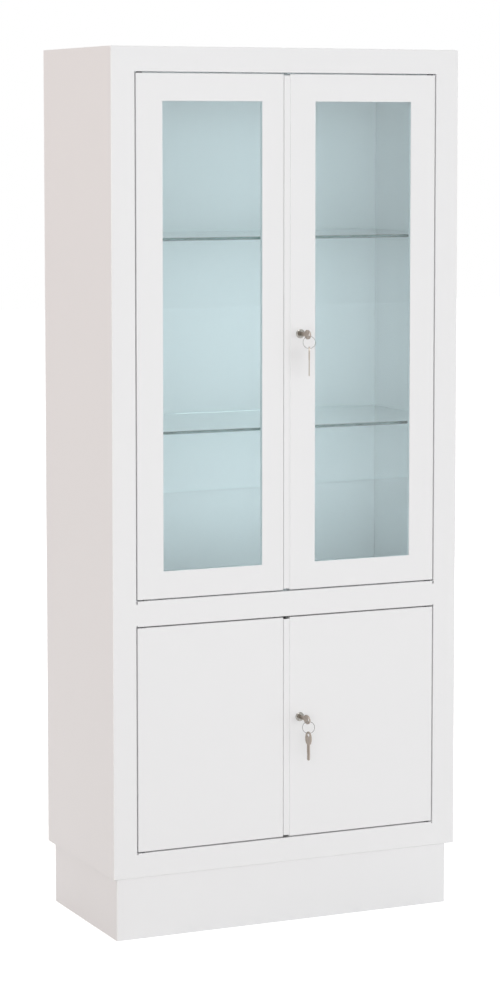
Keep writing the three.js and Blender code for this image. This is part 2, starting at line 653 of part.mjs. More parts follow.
// Lock cylinder: a flanged housing with its nut, and the plug with keyway, square tail and cam.
function lockCylinder(level, z) {
  const barrelEnd = DOOR_DEPTH + CAM_CLEARANCE - LOCK_CLEARANCE;
  const bore = PLUG_RADIUS + LOCK_CLEARANCE;
  const housing = revolve([
    [bore, -BEZEL_HEIGHT],
    [BEZEL_RADIUS - BEZEL_ROUND, -BEZEL_HEIGHT],
    [BEZEL_RADIUS, -BEZEL_HEIGHT + BEZEL_ROUND],
    [BEZEL_RADIUS, 0],
    [BARREL_RADIUS, 0],
    [BARREL_RADIUS, barrelEnd],
    [bore, barrelEnd],
    [bore, -BEZEL_HEIGHT],
  ], LOCK_SIDES);
  piece(`${level}_lock_housing`, housing.translate(lockX, 0, z), NICKEL);

  const nutY = [SHEET, SHEET + NUT_THICKNESS];
  const nutBore = cylinderY([lockX, z], BARREL_RADIUS + LOCK_CLEARANCE, grow(nutY, OVERCUT));
  piece(`${level}_lock_nut`, cut(cylinderY([lockX, z], NUT_RADIUS, nutY, 6), [nutBore]), ZINC_STEEL);

  const camY = [DOOR_DEPTH + CAM_CLEARANCE, DOOR_DEPTH + CAM_CLEARANCE + CAM_THICKNESS];
  const body = cylinderY([lockX, z], PLUG_RADIUS, [-BEZEL_HEIGHT, barrelEnd]);
  const half = TAIL_WIDTH / 2;
  const square = (margin, y) =>
    box(grow([lockX, lockX], half + margin), y, grow([z, z], half + margin));
  const keyway = box(
    grow([lockX, lockX], KEY_THICKNESS / 2 + LOCK_CLEARANCE),
    [-BEZEL_HEIGHT - OVERCUT, -BEZEL_HEIGHT + KEY_INSERTION + KEYWAY_END],
    grow([z, z], KEY_BLADE_WIDTH / 2 + LOCK_CLEARANCE),
  );
  const plug = cut(join([body, square(0, [barrelEnd - OVERCUT, camY[1] + TAIL_END])]), [keyway]);
  piece(`${level}_lock_plug`, plug, NICKEL);

  // At rest the cam hangs clear of the left leaf, as it does when the lock is open.
  const arm = new THREE.Shape();
  arm.absarc(lockX, z, CAM_WIDTH / 2, 0, Math.PI);
  arm.lineTo(lockX - CAM_WIDTH / 2, z - CAM_LENGTH);
  arm.lineTo(lockX + CAM_WIDTH / 2, z - CAM_LENGTH);
  const cam = cut(alongY(arm, camY, CURVE_STEPS), [square(LOCK_CLEARANCE, grow(camY, OVERCUT))]);
  piece(`${level}_lock_cam`, cam, ZINC_STEEL);
}

// Key in the lock, with a ring through its bow and the spare hanging from the ring.
function keys(level, z) {
  const inLock = new THREE.Vector3(lockX, -BEZEL_HEIGHT + KEY_INSERTION, z);
  const up = new THREE.Vector3(0, 0, 1);
  piece(`${level}_key`, keyAt(inLock, new THREE.Vector3(0, -1, 0), up), KEY_METAL);

  const holeY = inLock.y - (KEY_LENGTH - KEY_HOLE_INSET);
  const wireTop = z - KEY_HOLE_RADIUS + RING_WIRE_RADIUS + RING_CLEARANCE;
  const ringCentre = new THREE.Vector3(lockX, holeY, wireTop - RING_RADIUS);
  const tangent = new THREE.Vector3(1, 0, 0).applyAxisAngle(up, RING_TURN);
  const ring = new THREE.TorusGeometry(RING_RADIUS, RING_WIRE_RADIUS, WIRE_SIDES, RING_STEPS);
  ring.applyMatrix4(new THREE.Matrix4().makeBasis(tangent, up, tangent.clone().cross(up)));
  piece(`${level}_key_ring`, ring.translate(ringCentre.x, ringCentre.y, ringCentre.z), NICKEL);

  const holeZ = ringCentre.z - RING_RADIUS + RING_WIRE_RADIUS + RING_CLEARANCE - KEY_HOLE_RADIUS;
  const tip = new THREE.Vector3(lockX, holeY, holeZ - (KEY_LENGTH - KEY_HOLE_INSET));
  const across = new THREE.Vector3(0, 1, 0).applyAxisAngle(up, RING_TURN + SPARE_TURNS[level]);
  piece(`${level}_spare_key`, keyAt(tip, up, across), KEY_METAL);
}

frontFrame();
carcass();
plinth();
doors();
pivotPins();
shelves();
for (const [level, z] of Object.entries(lockHeights)) {
  lockCylinder(level, z);
  keys(level, z);
}

// The origin is the middle of the base of the whole envelope, hanging keys included.
const envelope = new THREE.Box3().setFromObject(cabinet, true);
cabinet.position.y = -(envelope.min.y + envelope.max.y) / 2;
const part = new THREE.Group();
part.add(cabinet);

export default part;
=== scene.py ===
# %% [markdown]
# # A glass door cabinet for a clinic
# The cabinet is white powder-coated sheet steel: two glazed leaves above, two plain leaves below, and a
# recessed plinth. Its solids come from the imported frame, in metres, with X to the right, Y to the back and
# Z up. This lesson dresses them: the finishes, the stamped keys, the split rings, the lock cylinders with
# their threads, the screws and the weld spots. Then it lights them the way a catalogue studio would.

# %% Load the frame
import bpy
import bmesh
import json
import math
from mathutils import Matrix, Vector


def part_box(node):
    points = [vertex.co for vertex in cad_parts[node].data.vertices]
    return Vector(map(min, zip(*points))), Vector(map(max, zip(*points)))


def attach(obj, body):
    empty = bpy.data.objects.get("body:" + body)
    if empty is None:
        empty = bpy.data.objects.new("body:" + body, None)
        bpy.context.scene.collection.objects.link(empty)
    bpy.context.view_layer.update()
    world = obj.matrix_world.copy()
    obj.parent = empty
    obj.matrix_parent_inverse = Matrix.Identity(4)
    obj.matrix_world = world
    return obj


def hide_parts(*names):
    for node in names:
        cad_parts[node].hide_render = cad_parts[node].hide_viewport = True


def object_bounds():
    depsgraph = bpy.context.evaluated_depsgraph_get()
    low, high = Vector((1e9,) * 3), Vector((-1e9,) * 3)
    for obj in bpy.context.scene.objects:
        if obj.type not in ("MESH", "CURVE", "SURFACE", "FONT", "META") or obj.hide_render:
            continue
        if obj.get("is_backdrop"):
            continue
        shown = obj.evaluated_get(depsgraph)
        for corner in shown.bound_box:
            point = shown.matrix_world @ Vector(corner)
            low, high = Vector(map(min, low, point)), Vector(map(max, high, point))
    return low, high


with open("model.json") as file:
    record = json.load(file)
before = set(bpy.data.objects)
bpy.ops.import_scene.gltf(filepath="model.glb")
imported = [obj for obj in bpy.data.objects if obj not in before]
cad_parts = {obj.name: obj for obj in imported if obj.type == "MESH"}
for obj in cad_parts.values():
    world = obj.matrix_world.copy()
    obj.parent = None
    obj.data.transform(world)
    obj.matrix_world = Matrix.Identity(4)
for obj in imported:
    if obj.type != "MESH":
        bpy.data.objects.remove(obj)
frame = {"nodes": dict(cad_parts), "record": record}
cad_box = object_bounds()
MM = 0.001

# %% [markdown]
# ## Places that the solids give
# Nothing is placed by eye. The front face, the locks and the keys are read from the boxes of the solids,
# so a changed size in the frame moves every dressed piece with it.

# %% Read the places
LEVELS = ("upper", "lower")
front_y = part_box("front_frame")[0].y


def middle(node):
    low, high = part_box(node)
    return (low + high) / 2


lock_at = {}
for level in LEVELS:
    plug = middle(f"{level}_lock_plug")
    lock_at[level] = Vector((plug.x, front_y, plug.z))
print("front face at y =", round(front_y, 4), "locks at z =", [round(lock_at[k].z, 4) for k in LEVELS])

# %% [markdown]
# ## Camera
# The picture was taken from the left with a long lens, a little below the height of the cabinet's top. The
# lens axis passes above the middle of the frame, and a camera shift does that without more tilt: a steeper
# camera would make the upright edges converge.

# %% Camera
CAMERA_OFFSET = Vector((-2.5487, -5.3922, 1.6280))
CAMERA_YAW = 0.42832
CAMERA_PITCH = 0.09048
FOCAL_PIXELS = 2938.7
PICTURE_HEIGHT = 983
AXIS_ABOVE_MIDDLE = 91.4
SENSOR = 36.0
CLIP_END = 100.0

camera_data = bpy.data.cameras.new("catalogue_camera")
camera_data.sensor_fit = "AUTO"
camera_data.sensor_width = SENSOR
camera_data.lens = SENSOR * FOCAL_PIXELS / PICTURE_HEIGHT
camera_data.shift_y = -AXIS_ABOVE_MIDDLE / PICTURE_HEIGHT
camera_data.clip_end = CLIP_END
camera = bpy.data.objects.new("catalogue_camera", camera_data)
camera.location = CAMERA_OFFSET + Vector((0, front_y, 0))
camera.rotation_euler = (math.pi / 2 - CAMERA_PITCH, 0, -CAMERA_YAW)
bpy.context.scene.collection.objects.link(camera)
bpy.context.scene.camera = camera
print("camera lens", round(camera_data.lens, 2), "mm, shift", round(camera_data.shift_y, 4))

# %% [markdown]
# ## Node helpers
# Most materials below are a handful of nodes, so a few small functions keep them readable: one adds a node
# with its settings, one starts a material, and two make and use groups. Shared effects become node groups.
# A group gives out colours and numbers only, and the shader itself stays in each material.

# %% Node helpers


def add_node(tree, kind, settings=None, **inputs):
    node = tree.nodes.new(kind)
    for name, value in (settings or {}).items():
        setattr(node, name, value)
    for name, value in inputs.items():
        node.inputs[name.replace("_", " ")].default_value = value
    return node


def new_material(name):
    material = bpy.data.materials.new(name)
    material.use_nodes = True
    tree = material.node_tree
    shader = tree.nodes["Principled BSDF"]
    return material, tree, shader


def new_group(name, inputs, outputs):
    group = bpy.data.node_groups.new(name, "ShaderNodeTree")
    for label, kind, value in inputs:
        socket = group.interface.new_socket(label, in_out="INPUT", socket_type=kind)
        socket.default_value = value
    for label, kind in outputs:
        group.interface.new_socket(label, in_out="OUTPUT", socket_type=kind)
    return group, group.nodes.new("NodeGroupInput"), group.nodes.new("NodeGroupOutput")


def use_group(tree, group, **inputs):
    node = tree.nodes.new("ShaderNodeGroup")
    node.node_tree = group
    for name, value in inputs.items():
        node.inputs[name.replace("_", " ")].default_value = value
    return node


# %% [markdown]
# ## Shared effects
# *Tone drift* lets a colour wander slowly between two near tones, as a sprayed coat does over a large
# panel. *Grain* is a fine noise for orange peel in paint or for the matt skin of rubber. *Hairline*
# stretches a noise along one axis, which reads as the brush marks on plated metal.

# %% Shared effects
COLOUR, NUMBER = "NodeSocketColor", "NodeSocketFloat"
# A mix node has sockets for every kind of value, and these are the ones that it uses for colours.
MIX_FACTOR, MIX_FIRST, MIX_SECOND, MIX_RESULT = 0, 6, 7, 2

tone_drift, entry, leave = new_group(
    "tone_drift",
    [("Light", COLOUR, (1, 1, 1, 1)), ("Deep", COLOUR, (0, 0, 0, 1)), ("Scale", NUMBER, 3.0)],
    [("Colour", COLOUR)],
)
place = tone_drift.nodes.new("ShaderNodeTexCoord")
cloud = add_node(tone_drift, "ShaderNodeTexNoise", Detail=3.0, Roughness=0.55)
blend = add_node(tone_drift, "ShaderNodeMix", {"data_type": "RGBA"})
tone_drift.links.new(place.outputs["Object"], cloud.inputs["Vector"])
tone_drift.links.new(entry.outputs["Scale"], cloud.inputs["Scale"])
tone_drift.links.new(cloud.outputs["Fac"], blend.inputs[MIX_FACTOR])
tone_drift.links.new(entry.outputs["Light"], blend.inputs[MIX_FIRST])
tone_drift.links.new(entry.outputs["Deep"], blend.inputs[MIX_SECOND])
tone_drift.links.new(blend.outputs[MIX_RESULT], leave.inputs["Colour"])

grain, entry, leave = new_group(
    "grain",
    [("Scale", NUMBER, 600.0), ("Low", NUMBER, 0.4), ("High", NUMBER, 0.5)],
    [("Height", NUMBER), ("Value", NUMBER)],
)
place = grain.nodes.new("ShaderNodeTexCoord")
speck = add_node(grain, "ShaderNodeTexNoise", Detail=2.0, Roughness=0.5)
spread = add_node(grain, "ShaderNodeMapRange")
grain.links.new(place.outputs["Object"], speck.inputs["Vector"])
grain.links.new(entry.outputs["Scale"], speck.inputs["Scale"])
grain.links.new(speck.outputs["Fac"], spread.inputs["Value"])
grain.links.new(entry.outputs["Low"], spread.inputs["To Min"])
grain.links.new(entry.outputs["High"], spread.inputs["To Max"])
grain.links.new(speck.outputs["Fac"], leave.inputs["Height"])
grain.links.new(spread.outputs["Result"], leave.inputs["Value"])

hairline, entry, leave = new_group(
    "hairline",
    [("Along", NUMBER, 40.0), ("Across", NUMBER, 4000.0), ("Low", NUMBER, 0.2), ("High", NUMBER, 0.35)],
    [("Height", NUMBER), ("Value", NUMBER)],
)
place = hairline.nodes.new("ShaderNodeTexCoord")
stretch = add_node(hairline, "ShaderNodeVectorMath", {"operation": "MULTIPLY"})
rates = hairline.nodes.new("ShaderNodeCombineXYZ")
lines = add_node(hairline, "ShaderNodeTexNoise", Scale=1.0, Detail=2.0, Roughness=0.6)
spread = add_node(hairline, "ShaderNodeMapRange")
hairline.links.new(entry.outputs["Across"], rates.inputs["X"])
hairline.links.new(entry.outputs["Across"], rates.inputs["Y"])
hairline.links.new(entry.outputs["Along"], rates.inputs["Z"])
hairline.links.new(place.outputs["Object"], stretch.inputs[0])
hairline.links.new(rates.outputs["Vector"], stretch.inputs[1])
hairline.links.new(stretch.outputs["Vector"], lines.inputs["Vector"])
hairline.links.new(lines.outputs["Fac"], spread.inputs["Value"])
hairline.links.new(entry.outputs["Low"], spread.inputs["To Min"])
hairline.links.new(entry.outputs["High"], spread.inputs["To Max"])
hairline.links.new(lines.outputs["Fac"], leave.inputs["Height"])
hairline.links.new(spread.outputs["Result"], leave.inputs["Value"])
print("effects:", [g.name for g in (tone_drift, grain, hairline)])

# %% [markdown]
# ## White powder coat
# Powder melts into a skin that is smooth but not flat: up close it has the dimples of orange peel, about a
# millimetre across. The colour is a cool white that drifts by a hair over a panel. A bump node gives the
# dimples, because real displacement at that size would need millions of faces.

# %% White powder coat


def surface_bump(tree, shader, height, strength, distance):
    bump = add_node(tree, "ShaderNodeBump", Strength=strength, Distance=distance)
    tree.links.new(height, bump.inputs["Height"])
    tree.links.new(bump.outputs["Normal"], shader.inputs["Normal"])


white_paint, tree, shader = new_material("white_powder_coat")
drift = use_group(tree, tone_drift, Light=(0.885, 0.885, 0.89, 1), Deep=(0.865, 0.865, 0.872, 1), Scale=2.5)
peel = use_group(tree, grain, Scale=700.0, Low=0.36, High=0.46)
tree.links.new(drift.outputs["Colour"], shader.inputs["Base Color"])
tree.links.new(peel.outputs["Value"], shader.inputs["Roughness"])
surface_bump(tree, shader, peel.outputs["Height"], strength=0.12, distance=0.2 * MM)
print("paint:", white_paint.name)

# %% [markdown]
# ## Glass
# Window panes are 4 mm float glass with a faint blue-green cast. Lamps have to reach the shelves behind
# them, and a plain refracting pane blocks lamp light, so the pane turns into a tinted film for shadow rays.
# The shelves are 6 mm glass. Seen through its edge, such a shelf is dark teal, because the view runs through
# its whole depth. A mask from the face direction paints the edge dark, its ground corners pale mint, and
# leaves the broad faces clear.

# %% Glass
GLASS_IOR = 1.5
WINDOW_FILM = (0.80, 0.866, 0.88, 1)
SHELF_FILM = (0.93, 0.98, 0.97, 1)
EDGE_TEAL = (0.012, 0.20, 0.175, 1)
CORNER_MINT = (0.75, 1.0, 0.94, 1)
FACE_CLEAR = (0.95, 0.985, 0.98, 1)


def glass_material(name, film):
    material, tree, shader = new_material(name)
    shader.inputs["Roughness"].default_value = 0.0
    shader.inputs["IOR"].default_value = GLASS_IOR
    shader.inputs["Transmission Weight"].default_value = 1.0
    path = tree.nodes.new("ShaderNodeLightPath")
    clear = add_node(tree, "ShaderNodeBsdfTransparent", Color=film)
    choice = tree.nodes.new("ShaderNodeMixShader")
    output = tree.nodes["Material Output"]
    tree.links.new(path.outputs["Is Shadow Ray"], choice.inputs[0])
    tree.links.new(shader.outputs["BSDF"], choice.inputs[1])
    tree.links.new(clear.outputs["BSDF"], choice.inputs[2])
    tree.links.new(choice.outputs["Shader"], output.inputs["Surface"])
    return material, tree, shader


pane_glass, tree, shader = glass_material("window_glass", WINDOW_FILM)
drift = use_group(tree, tone_drift, Light=(0.85, 0.95, 0.97, 1), Deep=(0.835, 0.94, 0.96, 1), Scale=1.5)
tree.links.new(drift.outputs["Colour"], shader.inputs["Base Color"])

shelf_glass, tree, shader = glass_material("shelf_glass", SHELF_FILM)
facing = tree.nodes.new("ShaderNodeNewGeometry")
parts = tree.nodes.new("ShaderNodeSeparateXYZ")
flatness = add_node(tree, "ShaderNodeMath", {"operation": "ABSOLUTE"})
tint = tree.nodes.new("ShaderNodeValToRGB")
edge, face = tint.color_ramp.elements
edge.position = 0.15
edge.color = EDGE_TEAL
face.position = 0.98
face.color = FACE_CLEAR
tint.color_ramp.elements.new(0.45).color = CORNER_MINT
tree.links.new(facing.outputs["True Normal"], parts.inputs["Vector"])
tree.links.new(parts.outputs["Z"], flatness.inputs[0])
tree.links.new(flatness.outputs["Value"], tint.inputs["Fac"])
tree.links.new(tint.outputs["Color"], shader.inputs["Base Color"])
print("glass:", pane_glass.name, "and", shelf_glass.name)

# %% [markdown]
# ## Rubber and plated metal
# The glazing channel is pale grey rubber with a dusty skin. Bolts, studs and cams are zinc plated: grey,
# a little blotchy, half matt. Locks are nickel, its base colour kept darker than bare nickel as a painted
# dark reflection, and the rings are a still darker copy of that nickel, painted shade for their dark wire.
# The hinge pins are dark with oil. The keys are stamped blanks whose nickel has gone warm. The metals have
# brush marks.

# %% Rubber and plated metal
gasket_rubber, tree, shader = new_material("gasket_rubber")
drift = use_group(tree, tone_drift, Light=(0.70, 0.72, 0.72, 1), Deep=(0.64, 0.66, 0.66, 1), Scale=30.0)
dust = use_group(tree, grain, Scale=1500.0, Low=0.62, High=0.78)
tree.links.new(drift.outputs["Colour"], shader.inputs["Base Color"])
tree.links.new(dust.outputs["Value"], shader.inputs["Roughness"])
surface_bump(tree, shader, dust.outputs["Height"], strength=0.2, distance=0.1 * MM)


def plated_metal(name, light, deep, patch, rough, bump):
    material, tree, shader = new_material(name)
    shader.inputs["Metallic"].default_value = 1.0
    drift = use_group(tree, tone_drift, Light=light, Deep=deep, Scale=patch)
    marks = use_group(tree, hairline, Low=rough[0], High=rough[1])
    tree.links.new(drift.outputs["Colour"], shader.inputs["Base Color"])
    tree.links.new(marks.outputs["Value"], shader.inputs["Roughness"])
    surface_bump(tree, shader, marks.outputs["Height"], strength=bump, distance=0.05 * MM)
    return material


zinc_steel = plated_metal(
    "zinc_plate",
    light=(0.68, 0.70, 0.73, 1),
    deep=(0.52, 0.54, 0.56, 1),
    patch=220.0,
    rough=(0.28, 0.45),
    bump=0.2,
)
# Painted dark reflection: the nickel gets a darker base colour than bare nickel, standing in for the dark
# surroundings it would mirror.
nickel = plated_metal(
    "nickel_with_painted_dark_reflection",
    light=(0.46, 0.45, 0.42, 1),
    deep=(0.30, 0.29, 0.27, 1),
    patch=160.0,
    rough=(0.08, 0.20),
    bump=0.1,
)
# Painted shade: the rings are a darker copy of the same nickel, so the thin wire reads dark as if it mirrored
# dark surroundings.
ring_nickel_painted_dark = plated_metal(
    "ring_nickel_with_painted_dark_reflection",
    light=(0.24, 0.24, 0.23, 1),
    deep=(0.15, 0.15, 0.14, 1),
    patch=300.0,
    rough=(0.20, 0.35),
    bump=0.1,
)
pin_steel = plated_metal(
    "oiled_pin_steel",
    light=(0.16, 0.16, 0.17, 1),
    deep=(0.09, 0.09, 0.10, 1),
    patch=220.0,
    rough=(0.40, 0.60),
    bump=0.2,
)
key_metal = plated_metal(
    "stamped_key",
    light=(0.51, 0.45, 0.40, 1),
    deep=(0.37, 0.32, 0.28, 1),
    patch=180.0,
    rough=(0.25, 0.42),
    bump=0.25,
)
print("metals:", [m.name for m in (zinc_steel, nickel, ring_nickel_painted_dark, pin_steel, key_metal)])

# %% [markdown]
# ## A finish for every node
# The record in the frame gives each node a slot, and each slot has a finish. Two kinds of node stand apart:
# the glass shelves need their green edges, and the pins are darker than the other zinc pieces.

# %% A finish for every node
FINISHES = {
    "white_paint": white_paint,
    "clear_glass": pane_glass,
    "pale_gasket": gasket_rubber,
    "zinc_steel": zinc_steel,
    "nickel": nickel,
    "key_metal": key_metal,
}
SPECIAL = {"_glass_shelf": shelf_glass, "_pivot": pin_steel}
for part in frame["record"]["subparts"]:
    finish = FINISHES[part["material_slot"]]
    for ending, special in SPECIAL.items():
        if part["node"].endswith(ending):
            finish = special
    slots = frame["nodes"][part["node"]].data.materials
    slots.clear()
    slots.append(finish)

# %% [markdown]
# ## Turned pieces
# A lock body is turned on a lathe, so one function spins a profile of radius and depth round the lock axis.
# The profile is closed, and the faces are made to point outwards at the end. Edges sharper than thirty
# degrees stay crisp and the rest is shaded smooth.

# %% Turned pieces
SHARP_ANGLE = math.radians(30)
SAME_POINT = 1e-6
LATHE_STEPS = 64


def finish_mesh(mesh, material):
    work = bmesh.new()
    work.from_mesh(mesh)
    bmesh.ops.remove_doubles(work, verts=work.verts, dist=SAME_POINT)
    bmesh.ops.recalc_face_normals(work, faces=work.faces)
    work.to_mesh(mesh)
    work.free()
    mesh.materials.clear()
    mesh.materials.append(material)
    mesh.shade_smooth()
    mesh.set_sharp_from_angle(angle=SHARP_ANGLE)
    return mesh


def add_piece(name, mesh, body, replaced=()):
    piece = bpy.data.objects.new(name, mesh)
    bpy.context.scene.collection.objects.link(piece)
    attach(piece, body)
    if replaced:
        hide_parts(*replaced)
    return piece


def turned(name, profile, centre, material, steps=LATHE_STEPS):
    """Spins (radius, depth) points, in millimetres, round the Y axis through the centre."""
    verts = []
    faces = []
    count = len(profile)
    for i in range(steps):
        angle = 2 * math.pi * i / steps
        for radius, depth in profile:
            x = radius * math.cos(angle) * MM
            z = radius * math.sin(angle) * MM
            verts.append(centre + Vector((x, depth * MM, z)))
    for i in range(steps):
        here = i * count
        there = ((i + 1) % steps) * count
        for k in range(count):
            after = (k + 1) % count
            faces.append((here + k, here + after, there + after, there + k))
    mesh = bpy.data.meshes.new(name)
    mesh.from_pydata(verts, [], faces)
    return finish_mesh(mesh, material)


# %% [markdown]
# ## Lock bodies
# The face of a cam lock is flat, with a shallow groove round the plug and a rolled shoulder outside it. The
# shoulder matters most here, because it is what catches the light.

# %% Lock bodies
BEZEL_RADIUS = 9.5
BEZEL_PROUD = 3.0
SHOULDER_STEPS = 8
SHOULDER_WIDTH = 2.3
SHOULDER_DROP = 2.5
BARREL_RADIUS = 7.95
PLUG_BORE = 5.7
FACE_SUNK = 0.02
GROOVE_INNER = 6.4
GROOVE_OUTER = 7.2
GROOVE_DEPTH = 0.35
GROOVE_SLOPE = 0.2


def bezel_profile(barrel_depth):
    face = FACE_SUNK - BEZEL_PROUD
    groove = face + GROOVE_DEPTH
    profile = [(PLUG_BORE, face), (GROOVE_INNER, face)]
    profile += [(GROOVE_INNER + GROOVE_SLOPE, groove), (GROOVE_OUTER - GROOVE_SLOPE, groove)]
    for step in range(SHOULDER_STEPS + 1):
        turn = math.pi / 2 * step / SHOULDER_STEPS
        radius = BEZEL_RADIUS - SHOULDER_WIDTH * (1 - math.sin(turn))
        profile.append((radius, face + SHOULDER_DROP * (1 - math.cos(turn))))
    profile += [(BEZEL_RADIUS, 0.0), (BARREL_RADIUS, 0.0)]
    profile += [(BARREL_RADIUS, barrel_depth), (PLUG_BORE, barrel_depth)]
    return profile


for level in LEVELS:
    barrel_depth = (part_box(f"{level}_lock_housing")[1].y - front_y) / MM
    mesh = turned(f"{level}_lock_body", bezel_profile(barrel_depth), lock_at[level], nickel)
    add_piece(f"{level}_lock_body", mesh, f"{level}_right_door", [f"{level}_lock_housing"])
    print(mesh.name, len(mesh.polygons), "faces")

# %% [markdown]
# ## Cam screws
# A washer and a hexagon screw hold the cam on the square tail of the plug. They are hidden while the leaf is
# shut and show as soon as it opens. The screw is the same lathe with six steps instead of sixty-four.

# %% Cam screws
WASHER_RADIUS = 6.0
WASHER_THICKNESS = 0.8
WASHER_CHAMFER = 0.2
WASHER_STEPS = 32
HEAD_RADIUS = 4.6
HEAD_HEIGHT = 3.2
HEAD_CHAMFER = 0.5
HEAD_SIDES = 6
PIP = 0.01


def chamfered_disc(bottom, top, radius, chamfer):
    """The profile of a disc. It starts a pip away from the axis, so that no face shrinks to a point."""
    return [(PIP, bottom), (PIP, top), (radius - chamfer, top), (radius, top - chamfer), (radius, bottom)]


for level in LEVELS:
    tail = (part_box(f"{level}_lock_plug")[1].y - front_y) / MM
    seat = tail + WASHER_THICKNESS
    washer = chamfered_disc(tail, seat, WASHER_RADIUS, WASHER_CHAMFER)
    head = chamfered_disc(seat, seat + HEAD_HEIGHT, HEAD_RADIUS, HEAD_CHAMFER)
    mesh = turned(f"{level}_cam_washer", washer, lock_at[level], zinc_steel, WASHER_STEPS)
    add_piece(f"{level}_cam_washer", mesh, f"{level}_lock")
    mesh = turned(f"{level}_cam_screw", head, lock_at[level], zinc_steel, HEAD_SIDES)
    add_piece(f"{level}_cam_screw", mesh, f"{level}_lock")
print("cam screws on both locks")

# %% [markdown]
# ## Wound wire
# A split ring is two turns of spring wire lying on each other, and the thread on a lock barrel is a ridge
# wound round it. Both follow the same rule, a helix, so one Geometry Nodes tree makes them: a spiral curve
# swept by a small circle. The result is turned into a plain mesh, because the export keeps no live nodes.

# %% Wound wire tree
WIRE_SIDES = 10
WIRE_INPUTS = [
    ("Turns", "NodeSocketFloat"),
    ("Radius", "NodeSocketFloat"),
    ("Height", "NodeSocketFloat"),
    ("Wire Radius", "NodeSocketFloat"),
    ("Steps per Turn", "NodeSocketInt"),
    ("Finish", "NodeSocketMaterial"),
]


def new_geometry_tree(name, inputs):
    tree = bpy.data.node_groups.new(name, "GeometryNodeTree")
    for label, kind in inputs:
        tree.interface.new_socket(label, in_out="INPUT", socket_type=kind)
    tree.interface.new_socket("Geometry", in_out="OUTPUT", socket_type="NodeSocketGeometry")
    return tree, tree.nodes.new("NodeGroupInput"), tree.nodes.new("NodeGroupOutput")


wound_wire, entry, leave = new_geometry_tree("wound_wire", WIRE_INPUTS)
helix = wound_wire.nodes.new("GeometryNodeCurveSpiral")
section = wound_wire.nodes.new("GeometryNodeCurvePrimitiveCircle")
section.inputs["Resolution"].default_value = WIRE_SIDES
sweep = wound_wire.nodes.new("GeometryNodeCurveToMesh")
sweep.inputs["Fill Caps"].default_value = True
solid = wound_wire.nodes.new("GeometryNodeRealizeInstances")
coat = wound_wire.nodes.new("GeometryNodeSetMaterial")
link = wound_wire.links.new
link(entry.outputs["Turns"], helix.inputs["Rotations"])
link(entry.outputs["Radius"], helix.inputs["Start Radius"])
link(entry.outputs["Radius"], helix.inputs["End Radius"])
link(entry.outputs["Height"], helix.inputs["Height"])
link(entry.outputs["Steps per Turn"], helix.inputs["Resolution"])
link(entry.outputs["Wire Radius"], section.inputs["Radius"])
link(helix.outputs["Curve"], sweep.inputs["Curve"])
link(section.outputs["Curve"], sweep.inputs["Profile Curve"])
link(sweep.outputs["Mesh"], solid.inputs["Geometry"])
link(solid.outputs["Geometry"], coat.inputs["Geometry"])
link(entry.outputs["Finish"], coat.inputs["Material"])
link(coat.outputs["Geometry"], leave.inputs["Geometry"])
print(wound_wire.name, "has", len(wound_wire.nodes), "nodes")


def grown_mesh(name, tree, values, material, place=Matrix.Identity(4)):
    """Runs a node tree on an empty mesh and gives back a plain mesh, put in its place."""
    seed = bpy.data.objects.new(name, bpy.data.meshes.new(name + "_seed"))
    bpy.context.scene.collection.objects.link(seed)
    nodes = seed.modifiers.new("grow", "NODES")
    nodes.node_group = tree
    for socket in tree.interface.items_tree:
        if socket.in_out == "INPUT":
            nodes[socket.identifier] = values[socket.name]
    ready = bpy.context.evaluated_depsgraph_get()
    mesh = bpy.data.meshes.new_from_object(seed.evaluated_get(ready))
    bpy.data.objects.remove(seed)
    mesh.name = name
    mesh.transform(place)
    return finish_mesh(mesh, material)


# %% [markdown]
# ## Split rings and barrel threads
# Each ring hangs in the bow of the key, turned a little towards the viewer. The two turns of its wire fill
# the space of the solid ring, side by side. The thread starts behind the nut and stops one turn short of the
# end of the barrel.

# %% Split rings and barrel threads
RING_TURN = math.radians(-25)
RING_OUTER_WIRE = 0.9
RING_TURNS = 1.97
RING_STEPS = 48
COIL_WIRE = 0.45
THREAD_PITCH = 1.5
THREAD_RIDGE = 0.22
THREAD_STEPS = 32
NUT_END = 6.3
for level in LEVELS:
    low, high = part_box(f"{level}_key_ring")
    centre = (low + high) / 2
    radius = (high.z - low.z) / 2 - RING_OUTER_WIRE * MM
    upright = Matrix.Rotation(RING_TURN, 4, "Z") @ Matrix.Rotation(math.pi / 2, 4, "X")
    values = {
        "Turns": RING_TURNS,
        "Radius": radius,
        "Height": 2 * COIL_WIRE * MM,
        "Wire Radius": COIL_WIRE * MM,
        "Steps per Turn": RING_STEPS,
        "Finish": ring_nickel_painted_dark,
    }
    hang = Matrix.Translation(centre) @ upright @ Matrix.Translation((0, 0, -COIL_WIRE * MM))
    mesh = grown_mesh(f"{level}_split_ring", wound_wire, values, ring_nickel_painted_dark, hang)
    add_piece(f"{level}_split_ring", mesh, f"{level}_key_ring", [f"{level}_key_ring"])

    barrel_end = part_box(f"{level}_lock_housing")[1].y - front_y
    start = NUT_END * MM
    height = barrel_end - start - THREAD_PITCH * MM
    values = {
        "Turns": height / (THREAD_PITCH * MM),
        "Radius": BARREL_RADIUS * MM,
        "Height": height,
        "Wire Radius": THREAD_RIDGE * MM,
        "Steps per Turn": THREAD_STEPS,
        "Finish": nickel,
    }
    thread_start = lock_at[level] + Vector((0, start, 0))
    into_door = Matrix.Translation(thread_start) @ Matrix.Rotation(-math.pi / 2, 4, "X")
    mesh = grown_mesh(f"{level}_barrel_thread", wound_wire, values, nickel, into_door)
    add_piece(f"{level}_barrel_thread", mesh, f"{level}_right_door")
print("rings and threads wound")

# %% [markdown]
# ## Stamped keys
# A cabinet key is a flat blank: an oval bow with a hole, a raised rim, and a blade with bitting cuts and a
# milled groove. First come its outlines, in millimetres, from the tip of the blade along X.

